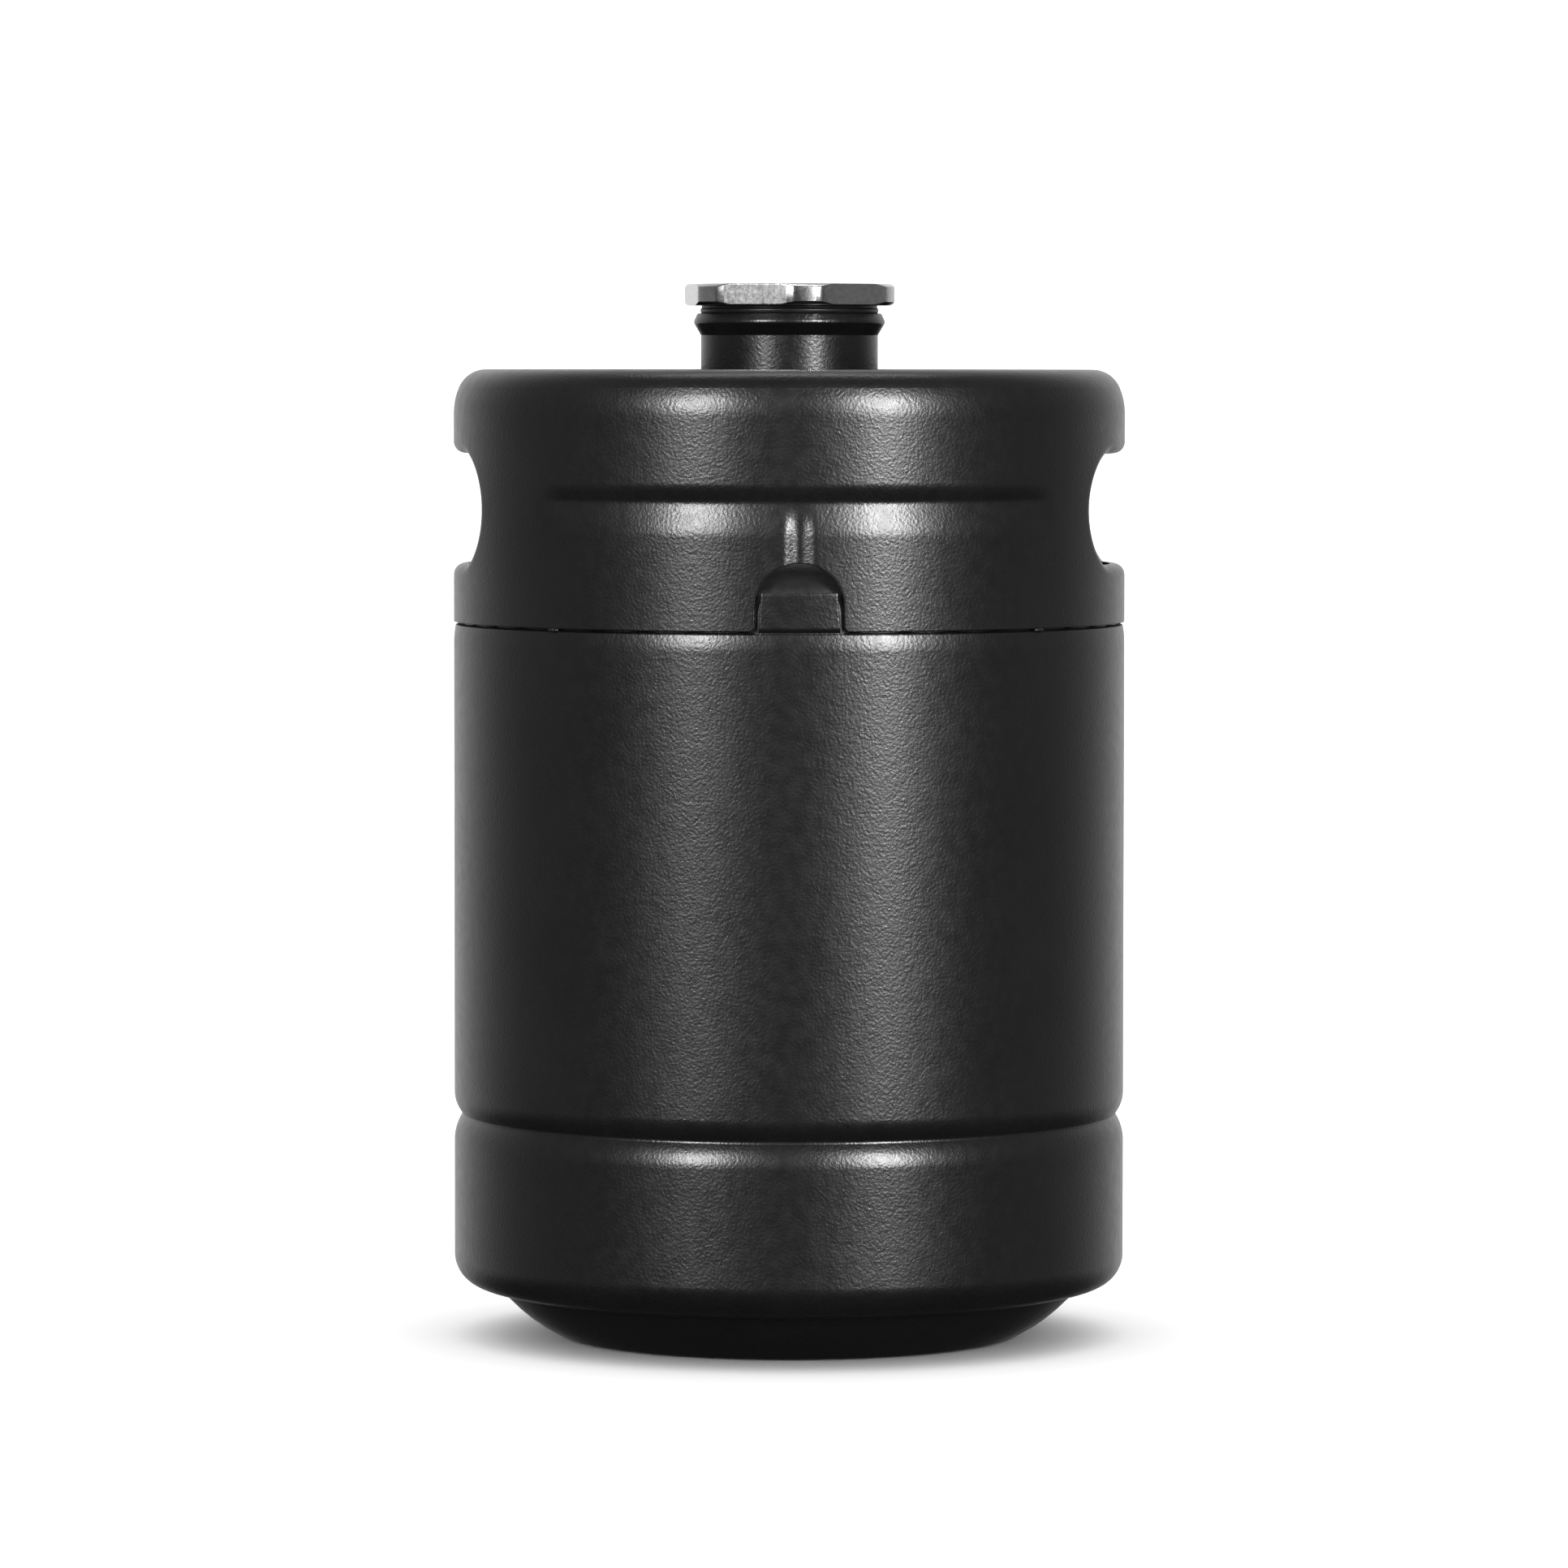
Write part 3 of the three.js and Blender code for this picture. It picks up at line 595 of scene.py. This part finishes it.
def thread_wave(height, turns):
    """A right-handed helix as a share of the thread's depth, with flat crests and roots."""
    phase = (height - NECK_TOP) / THREAD_PITCH - (np.asarray(turns) - 90) / 360
    triangle = 1 - np.abs(2 * (phase % 1) - 1)
    return smooth_step(1 - triangle, 0.12, 0.88)


def threaded(radius, height, turns, wall, low, high, fade_high):
    """Moves the points of a straight wall out along the helix."""
    on_wall = (np.abs(radius - wall) < 0.01) & (height > low - 0.01) & (height < high + 0.01)
    started = smooth_step(height, low, low + THREAD_PITCH / 2)
    ended = smooth_step(height, high - THREAD_PITCH / 2, high) if fade_high else 0
    return radius + THREAD_DEPTH * thread_wave(height, turns) * started * (1 - ended) * on_wall


def neck_tube():
    """The neck: a tube with a bead below its mouth and a thread cut into its bore."""
    thread_low, thread_high = NECK_TOP - 13, NECK_TOP - 2.25
    bead_height = NECK_TOP - 1.7
    corners = [
        (NECK_BORE, NECK_BOTTOM, 0.2),
        (NECK_RADIUS, NECK_BOTTOM, 0.2),
        (NECK_RADIUS, bead_height - 2.5, 0.25),
        (BEAD_RADIUS, bead_height, 0.9),
        (BEAD_RADIUS - 0.8, NECK_TOP, 0.25),
        (MOUTH_RADIUS, NECK_TOP, 0.2),
        (MOUTH_RADIUS, NECK_TOP - 1.75),
        *[(NECK_BORE, z) for z in np.linspace(thread_high, thread_low, 52)],
    ]
    loop = refine(rounded_loop(corners), 3.0)

    def cut(radius, height, turns):
        return threaded(radius, height, turns, NECK_BORE, thread_low, thread_high, False), height

    tube = revolved_solid("neck_tube", loop, 200, cut)
    columns = 200
    inner = [(loop[i, 0] + loop[(i + 1) % len(loop), 0]) / 2 < MOUTH_RADIUS - 0.01 for i in range(len(loop))]
    for face in tube.data.polygons:
        face.material_index = int(inner[face.index // columns])
    return tube


def seal_ring():
    """The flat seal, squeezed so that its side bulges and its lower edge laps the neck's mouth."""
    low, high = NECK_TOP + CONTACT_GAP, HEAD_BOTTOM - CONTACT_GAP
    inner, outer = seal_high.x - 2.0, seal_high.x
    loop = rounded_loop([
        (inner, low, 0.15),
        (outer - 0.25, low, 0.2),
        (outer, (low + high) / 2, 0.5),
        (outer - 0.35, high - 0.45, 0.3),
        (outer - 0.35, high, 0.1),
        (inner, high, 0.15),
    ])
    return revolved_solid("seal_ring", loop, 192)


def hex_section():
    """The head's outline as [x, y]: six flats, corners turned round, and every edge eased."""
    fine = np.radians(np.arange(0, 360, 0.1))
    from_flat = (fine + math.pi / 6) % (math.pi / 3) - math.pi / 6
    radius = np.minimum(HEX_APOTHEM / np.cos(from_flat), HEX_TURNED_RADIUS)
    flat = np.stack([radius * np.cos(fine), radius * np.sin(fine)], axis=1)
    mean_radius, easing = 20, 0.42
    step = 2 * math.pi * mean_radius / len(fine)
    reach = np.arange(-60, 61)
    weight = np.exp(-0.5 * (reach * step / easing) ** 2)
    weight /= weight.sum()
    eased = sum(w * np.roll(flat, k, axis=0) for w, k in zip(weight, reach))
    eased *= HEX_APOTHEM / eased[0, 0]
    edge = math.degrees(math.acos(HEX_APOTHEM / HEX_TURNED_RADIUS))
    sixth = np.concatenate([
        np.linspace(0, edge - 4.6, 7)[:-1],
        np.linspace(edge - 4.6, edge + 3.6, 22)[:-1],
        np.linspace(edge + 3.6, 30, 5),
    ])
    one_side = np.concatenate([sixth, 60 - sixth[-2::-1]])[:-1]
    stations = np.concatenate([one_side + 60 * side for side in range(6)])
    index = np.round(stations * 10).astype(int) % len(fine)
    index = np.unique(index)
    turned = math.radians(HEX_CORNER_TURN - 90 - 30)
    x, y = eased[index].T
    return x * math.cos(turned) - y * math.sin(turned), x * math.sin(turned) + y * math.cos(turned)


def eased_corner(before, corner, after, reach, steps=4):
    """Points round a corner, each an array over the columns, starting and ending at most reach from it."""
    to_before, to_after = before - corner, after - corner
    long_before = np.linalg.norm(to_before, axis=0)
    long_after = np.linalg.norm(to_after, axis=0)
    cut = np.minimum(reach, 0.45 * np.minimum(long_before, long_after))
    start = corner + to_before / long_before * cut
    end = corner + to_after / long_after * cut
    shares = np.linspace(0, 1, steps)
    return [(1 - s) ** 2 * start + 2 * s * (1 - s) * corner + s * s * end for s in shares]


def hex_screw_cap():
    """The head, with turned chamfers that fade out on its flats, and the hollow threaded plug below it."""
    x, y = hex_section()
    turns = np.degrees(np.arctan2(x, -y)) % 360
    order = np.argsort(turns)
    turns, side = turns[order], np.hypot(x, y)[order]
    flat_like = np.ones_like(side)
    break_edge = 0.14
    chamfer_radius = HEX_TURNED_RADIUS - HEX_CHAMFER * math.sqrt(3)
    cone = np.maximum((side - chamfer_radius) / math.sqrt(3), break_edge)
    face_radius = np.minimum(side - 1.2 * break_edge, chamfer_radius)

    underside = np.array([face_radius, HEAD_BOTTOM * flat_like])
    low_edge = np.array([side, HEAD_BOTTOM + cone])
    high_edge = np.array([side, CAP_TOP - cone])
    top_edge = np.array([face_radius, CAP_TOP * flat_like])
    rows = [np.array([PLUG_CREST * flat_like, HEAD_BOTTOM * flat_like])]
    rows += [np.array([face_radius * 0.97, HEAD_BOTTOM * flat_like])]
    rows += eased_corner(rows[-1], underside, low_edge, 0.12, 3)
    rows += eased_corner(underside, low_edge, high_edge, 0.22)
    rows += eased_corner(low_edge, high_edge, top_edge, 0.22)
    inside_top = np.array([face_radius * 0.97, CAP_TOP * flat_like])
    rows += eased_corner(high_edge, top_edge, inside_top, 0.3)
    rows += [np.array([face_radius * share, CAP_TOP * flat_like]) for share in (0.97, 0.8, 0.5, 0.2, 0)]

    plug_low, plug_high = PLUG_END + 0.8, NECK_TOP - THREAD_PITCH / 2
    plug_ceiling = HEAD_BOTTOM - 1.6
    plug = np.array([
        (PLUG_CREST, HEAD_BOTTOM),
        (PLUG_CREST, NECK_TOP + CONTACT_GAP),
        (PLUG_CORE, NECK_TOP + CONTACT_GAP),
        *[(PLUG_CORE, z) for z in np.linspace(plug_high, plug_low, 42)],
        (PLUG_CORE - 0.8, PLUG_END),
        (PLUG_BORE + 0.2, PLUG_END),
        (PLUG_BORE, PLUG_END + 0.2),
        (PLUG_BORE, plug_ceiling - 0.2),
        (PLUG_BORE - 0.3, plug_ceiling),
        (4, plug_ceiling),
        (0, plug_ceiling),
    ])
    head = np.array(rows)
    head_points = round_axis(head[:, 0], head[:, 1], turns[None, :])
    plug_height = np.broadcast_to(plug[:, 1:], (len(plug), len(turns)))
    plug_radius = threaded(plug[:, :1], plug_height, turns[None, :], PLUG_CORE, plug_low, plug_high, True)
    plug_points = round_axis(plug_radius, plug_height, turns[None, :])
    plug_faces = grid_faces(len(plug), len(turns), closed_columns=True)
    return piece("hex_screw_cap", [
        (head_points, grid_faces(len(head), len(turns), closed_columns=True)),
        (plug_points, [face[::-1] for face in plug_faces]),
    ])


# ---------------------------------------------------------------- Materials


class Nodes:
    """A material's nodes, made in as few words as they need."""

    def __init__(self, name):
        self.material = bpy.data.materials.new(name)
        self.material.use_nodes = True
        self.tree = self.material.node_tree
        self.shader = self.tree.nodes["Principled BSDF"]
        self.place = self.add("ShaderNodeTexCoord").outputs["Object"]

    def add(self, kind, **settings):
        node = self.tree.nodes.new(kind)
        for key, value in settings.items():
            setattr(node, key, value)
        return node

    def link(self, source, target):
        self.tree.links.new(source, target)

    def noise(self, per_metre, detail=2.0, roughness=0.5, stretch=None):
        node = self.add("ShaderNodeTexNoise")
        node.inputs["Scale"].default_value = per_metre
        node.inputs["Detail"].default_value = detail
        node.inputs["Roughness"].default_value = roughness
        place = self.place
        if stretch:
            mapping = self.add("ShaderNodeMapping")
            mapping.inputs["Scale"].default_value = stretch
            self.link(place, mapping.inputs["Vector"])
            place = mapping.outputs["Vector"]
        self.link(place, node.inputs["Vector"])
        return node.outputs["Fac"]

    def remap(self, value, low, high, start=0.3, end=0.7):
        node = self.add("ShaderNodeMapRange")
        node.inputs["From Min"].default_value = start
        node.inputs["From Max"].default_value = end
        node.inputs["To Min"].default_value = low
        node.inputs["To Max"].default_value = high
        self.link(value, node.inputs["Value"])
        return node.outputs["Result"]

    def blend(self, share, dark, light):
        node = self.add("ShaderNodeMix", data_type="RGBA")
        self.link(share, node.inputs["Factor"])
        node.inputs["A"].default_value = (*dark, 1)
        node.inputs["B"].default_value = (*light, 1)
        return node.outputs["Result"]

    def bump(self, height, distance_mm, below=None):
        node = self.add("ShaderNodeBump")
        node.inputs["Strength"].default_value = 1.0
        node.inputs["Distance"].default_value = distance_mm * MM
        self.link(height, node.inputs["Height"])
        if below is not None:
            self.link(below, node.inputs["Normal"])
        return node.outputs["Normal"]

    def colour(self, pattern, dark, light):
        self.link(self.blend(self.remap(pattern, 0, 1), dark, light), self.shader.inputs["Base Color"])

    def gloss(self, pattern, smooth, rough):
        self.link(self.remap(pattern, smooth, rough), self.shader.inputs["Roughness"])

    def set(self, **sockets):
        for name, value in sockets.items():
            self.shader.inputs[name.replace("_", " ")].default_value = value


def powder_coat(name, dark, light, smooth, rough, peel, sparkle):
    """Satin black powder coat: orange peel about half a millimetre across, with a finer grain in it."""
    nodes = Nodes(name)
    nodes.colour(nodes.noise(55, 3), dark, light)
    nodes.gloss(nodes.noise(420, 2, 0.5), smooth, rough)
    coarse = nodes.bump(nodes.noise(1800, 1.0, 0.5), peel)
    fine = nodes.bump(nodes.noise(4800, 2.0, 0.6), sparkle, coarse)
    nodes.link(fine, nodes.shader.inputs["Normal"])
    nodes.set(IOR=1.5, Metallic=0.0)
    return nodes.material


def brushed_steel():
    """Stainless steel: a fine mottle all over, and turning marks on the faces square to the axis."""
    nodes = Nodes("brushed_steel")
    nodes.colour(nodes.noise(1200, 3, 0.6), (0.50, 0.50, 0.50), (0.66, 0.66, 0.655))
    nodes.gloss(nodes.noise(1500, 3, 0.6), 0.14, 0.19)
    parts = nodes.add("ShaderNodeSeparateXYZ")
    nodes.link(nodes.place, parts.inputs[0])
    flat_place = nodes.add("ShaderNodeCombineXYZ")
    nodes.link(parts.outputs["X"], flat_place.inputs["X"])
    nodes.link(parts.outputs["Y"], flat_place.inputs["Y"])
    radius = nodes.add("ShaderNodeVectorMath", operation="LENGTH")
    nodes.link(flat_place.outputs[0], radius.inputs[0])
    marks = nodes.add("ShaderNodeTexNoise", noise_dimensions="1D")
    marks.inputs["Scale"].default_value = 4200
    marks.inputs["Detail"].default_value = 2
    nodes.link(radius.outputs["Value"], marks.inputs["W"])
    mottle = nodes.bump(nodes.noise(3000, 2, 0.6), 0.004)
    facing = nodes.add("ShaderNodeNewGeometry")
    facing_parts = nodes.add("ShaderNodeSeparateXYZ")
    nodes.link(facing.outputs["True Normal"], facing_parts.inputs[0])
    upright = nodes.add("ShaderNodeMath", operation="ABSOLUTE")
    nodes.link(facing_parts.outputs["Z"], upright.inputs[0])
    level = nodes.remap(upright.outputs[0], 0, 1, 0.96, 0.99)
    turned = nodes.add("ShaderNodeMath", operation="MULTIPLY")
    nodes.link(marks.outputs["Fac"], turned.inputs[0])
    nodes.link(level, turned.inputs[1])
    nodes.link(nodes.bump(turned.outputs[0], 0.004, mottle), nodes.shader.inputs["Normal"])
    nodes.set(Metallic=1.0)
    return nodes.material


def bare_steel():
    """Pickled stainless steel inside the vessel and the neck: dull, and streaked round the axis."""
    nodes = Nodes("bare_steel")
    nodes.colour(nodes.noise(60, 4, 0.6), (0.36, 0.355, 0.35), (0.48, 0.475, 0.47))
    nodes.gloss(nodes.noise(500, 3), 0.34, 0.48)
    streaks = nodes.noise(260, 3, 0.6, stretch=(1, 1, 9))
    nodes.link(nodes.bump(streaks, 0.006), nodes.shader.inputs["Normal"])
    nodes.set(Metallic=1.0)
    return nodes.material


def silicone():
    """Black silicone: a soft sheen, with a faint moulded grain."""
    nodes = Nodes("silicone")
    nodes.colour(nodes.noise(300, 2), (0.010, 0.010, 0.0105), (0.016, 0.016, 0.0165))
    nodes.gloss(nodes.noise(1200, 2), 0.34, 0.46)
    nodes.link(nodes.bump(nodes.noise(2400, 2), 0.003), nodes.shader.inputs["Normal"])
    nodes.set(IOR=1.43)
    return nodes.material


def pale_floor():
    """A matt white studio floor."""
    nodes = Nodes("pale_floor")
    nodes.colour(nodes.noise(2, 2), (0.90, 0.90, 0.90), (0.92, 0.92, 0.92))
    nodes.set(Roughness=0.9)
    return nodes.material


DARK_COAT = (0.0034, 0.0034, 0.0036)
LIGHT_COAT = (0.0048, 0.0048, 0.0051)
coat = powder_coat("powder_coat", DARK_COAT, LIGHT_COAT, 0.28, 0.33, 0.048, 0.005)
coat_recess = powder_coat("powder_coat_recess", DARK_COAT, LIGHT_COAT, 0.36, 0.44, 0.02, 0.006)
steel = brushed_steel()
inside_steel = bare_steel()
rubber = silicone()

# ---------------------------------------------------------------- Pieces on their bodies


def finish_piece(thing, body, slot, materials, *nodes, crease=40):
    """Gives a piece its materials and its final mesh, and puts it on its body in place of its CAD nodes."""
    thing.data.materials.clear()
    for material in materials:
        thing.data.materials.append(material)
    bake(thing, crease)
    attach(thing, body)
    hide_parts(*nodes)
    return thing


finish_piece(body_wall(), "keg", "powder_coat", [coat, inside_steel], "body_shell")
finish_piece(grip_ring(), "keg", "powder_coat", [coat], "handle_ring")
finish_piece(shoulder(), "keg", "powder_coat", [coat_recess, inside_steel], "shoulder_dome")
finish_piece(base_end(), "keg", "powder_coat", [coat_recess, inside_steel], "bottom_end")
finish_piece(base_weld(), "keg", "powder_coat", [coat_recess], "bottom_weld")
finish_piece(neck_weld(), "keg", "powder_coat", [coat], "neck_weld")
finish_piece(neck_tube(), "keg", "powder_coat", [coat, inside_steel], "neck")
for place, turn in TACK_TURNS.items():
    finish_piece(tack_bead(f"tack_bead_{place}", turn), "keg", "powder_coat", [coat], f"tack_weld_{place}")
finish_piece(seal_ring(), "seal", "silicone", [rubber], "cap_gasket")
finish_piece(hex_screw_cap(), "screw_cap", "brushed_steel", [steel], "hex_cap", crease=30)

# The two welds hidden in the seam keep their CAD meshes.
for node in ("shoulder_weld_left", "shoulder_weld_right"):
    for material_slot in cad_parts[node].material_slots:
        material_slot.material = coat_recess

# ---------------------------------------------------------------- Floor, light and camera

FLOOR_REACH = 9000
floor_corners = [(x * FLOOR_REACH, y * FLOOR_REACH, -0.05) for x, y in ((-1, -1), (1, -1), (1, 1), (-1, 1))]
floor = piece("floor", [(floor_corners, [[0, 1, 2, 3]])])
floor.data.materials.append(pale_floor())
floor.visible_glossy = False


def soft_light(name, turn, distance, low, high, width, radiance):
    """A tall soft box that shows only in reflections, between two elevations seen from the keg's middle."""
    reach = distance * MM
    bottom, top = (reach * math.tan(math.radians(elevation)) for elevation in (low, high))
    middle = (bottom + top) / 2
    light = bpy.data.lights.new(name, "AREA")
    light.shape = "RECTANGLE"
    light.size = width * MM
    light.size_y = (top - bottom) * math.cos(math.atan2(middle, reach))
    light.energy = radiance * math.pi * light.size * light.size_y
    lamp = bpy.data.objects.new(name, light)
    bpy.context.scene.collection.objects.link(lamp)
    angle = math.radians(turn)
    lamp.location = (reach * math.sin(angle), -reach * math.cos(angle), middle + KEG_MIDDLE * MM)
    aim = Vector((0, 0, KEG_MIDDLE * MM)) - lamp.location
    lamp.rotation_euler = aim.to_track_quat("-Z", "Y").to_euler()
    lamp.visible_camera = False
    lamp.visible_diffuse = False
    return lamp


KEG_MIDDLE = 130
CAMERA_TURN = -1.7
soft_light("softbox_left", CAMERA_TURN - 32.5, distance=6000, low=5.5, high=30, width=734, radiance=68)
soft_light("softbox_right", CAMERA_TURN + 33, distance=6000, low=3.0, high=30, width=734, radiance=86)
soft_light("top_light", 180, distance=900, low=62, high=74, width=1600, radiance=3.5)


def studio_world():
    """What the keg mirrors: a dark room in front, brighter sides and a white back wall, with a dark floor.

    Everything else, the sky that shows and the light on the floor, is an even white.
    """
    world = bpy.data.worlds.new("studio")
    bpy.context.scene.world = world
    world.use_nodes = True
    tree = world.node_tree
    tree.nodes.clear()

    def background(strength, colour=None):
        node = tree.nodes.new("ShaderNodeBackground")
        node.inputs["Color"].default_value = (1, 1, 1, 1)
        node.inputs["Strength"].default_value = strength
        if colour:
            tree.links.new(colour, node.inputs["Color"])
        return node.outputs[0]

    place = tree.nodes.new("ShaderNodeTexCoord")
    parts = tree.nodes.new("ShaderNodeSeparateXYZ")
    tree.links.new(place.outputs["Generated"], parts.inputs[0])
    from_front = tree.nodes.new("ShaderNodeMapRange")
    from_front.inputs["From Min"].default_value = -1
    tree.links.new(parts.outputs["Y"], from_front.inputs["Value"])
    room = tree.nodes.new("ShaderNodeValToRGB")
    tree.links.new(from_front.outputs["Result"], room.inputs["Fac"])
    for share, tone in ((0.3, 0.07), (0.42, 0.17), (0.65, 0.2), (0.78, 0.36)):
        room.color_ramp.elements.new(share).color = (tone, tone, tone, 1)
    room.color_ramp.elements[0].color = (0.05, 0.05, 0.05, 1)
    room.color_ramp.elements[-1].color = (1, 1, 1, 1)
    above_floor = tree.nodes.new("ShaderNodeMapRange")
    above_floor.interpolation_type = "SMOOTHSTEP"
    above_floor.inputs["From Min"].default_value = -0.45
    above_floor.inputs["From Max"].default_value = -0.1
    tree.links.new(parts.outputs["Z"], above_floor.inputs["Value"])
    mirrored = tree.nodes.new("ShaderNodeMixShader")
    tree.links.new(above_floor.outputs["Result"], mirrored.inputs["Fac"])
    tree.links.new(background(0.03), mirrored.inputs[1])
    tree.links.new(background(1, room.outputs["Color"]), mirrored.inputs[2])
    rays = tree.nodes.new("ShaderNodeLightPath")
    seen = tree.nodes.new("ShaderNodeMixShader")
    tree.links.new(rays.outputs["Is Glossy Ray"], seen.inputs["Fac"])
    tree.links.new(background(1.6), seen.inputs[1])
    tree.links.new(mirrored.outputs[0], seen.inputs[2])
    output = tree.nodes.new("ShaderNodeOutputWorld")
    tree.links.new(seen.outputs[0], output.inputs["Surface"])


studio_world()

camera_data = bpy.data.cameras.new("camera")
camera_data.sensor_width = 36
camera_data.lens = 186.3
camera_data.clip_end = 50
camera = bpy.data.objects.new("camera", camera_data)
bpy.context.scene.collection.objects.link(camera)
CAMERA_DISTANCE = 1574
CAMERA_HEIGHT = 189
CAMERA_PITCH = 2.98
CAMERA_YAW = 0.038
CAMERA_ROLL = -0.04
angle = math.radians(CAMERA_TURN)
camera.location = (
    CAMERA_DISTANCE * MM * math.sin(angle),
    -CAMERA_DISTANCE * MM * math.cos(angle),
    CAMERA_HEIGHT * MM,
)
camera.rotation_euler = Euler((
    math.radians(90 - CAMERA_PITCH),
    math.radians(CAMERA_ROLL),
    math.radians(CAMERA_TURN + CAMERA_YAW),
))
bpy.context.scene.camera = camera
bpy.context.scene.view_settings.view_transform = "Standard"
